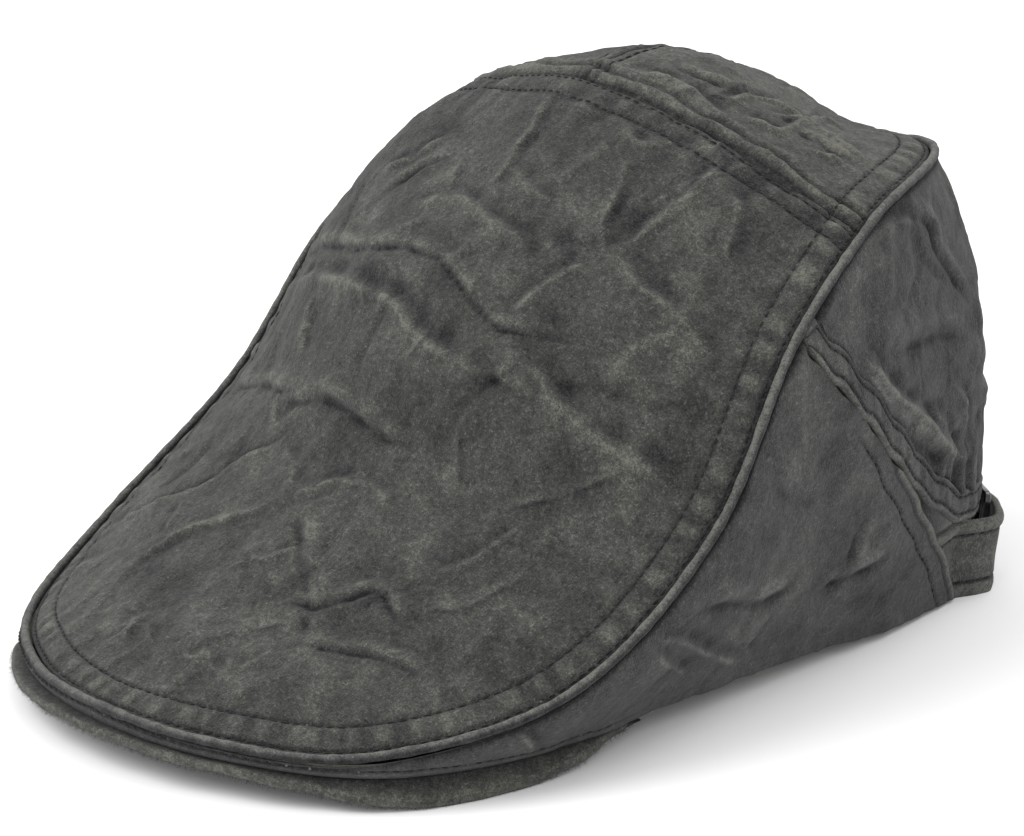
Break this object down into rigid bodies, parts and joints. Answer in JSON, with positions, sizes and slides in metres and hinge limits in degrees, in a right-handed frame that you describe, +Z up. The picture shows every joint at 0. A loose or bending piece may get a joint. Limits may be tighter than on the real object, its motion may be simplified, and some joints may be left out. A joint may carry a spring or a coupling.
{
  "type": "flat cap",
  "caption": "Soft waxed-cotton flat cap with a low crown, a short stiff peak sewn under the front band, and an adjusting strap across the back.",
  "frame": {"origin": "the middle of the cap's footprint, on the surface that it rests on", "axes": "+X towards the wearer's left, +Y towards the back of the cap (the nose points along -Y), +Z up"},
  "size_m": [0.188, 0.2512, 0.1394],
  "materials": {
    "waxed_cotton": "washed waxed cotton, matt with worn lighter edges",
    "hem_cotton": "double waxed cotton, stitched along both edges",
    "black_plastic": "glossy black moulded plastic"
  },
  "bodies": {
    "root": {"front_top_panel": "waxed_cotton", "rear_top_panel_left": "waxed_cotton", "rear_top_panel_right": "waxed_cotton", "top_seam_cord": "waxed_cotton", "side_panel_left": "waxed_cotton", "side_panel_right": "waxed_cotton", "back_panel_left": "waxed_cotton", "back_panel_right": "waxed_cotton", "back_hem_left": "hem_cotton", "back_hem_right": "hem_cotton", "peak": "waxed_cotton", "strap_left": "waxed_cotton", "strap_right": "waxed_cotton", "strap_slider": "black_plastic"}
  },
  "joints": []
}
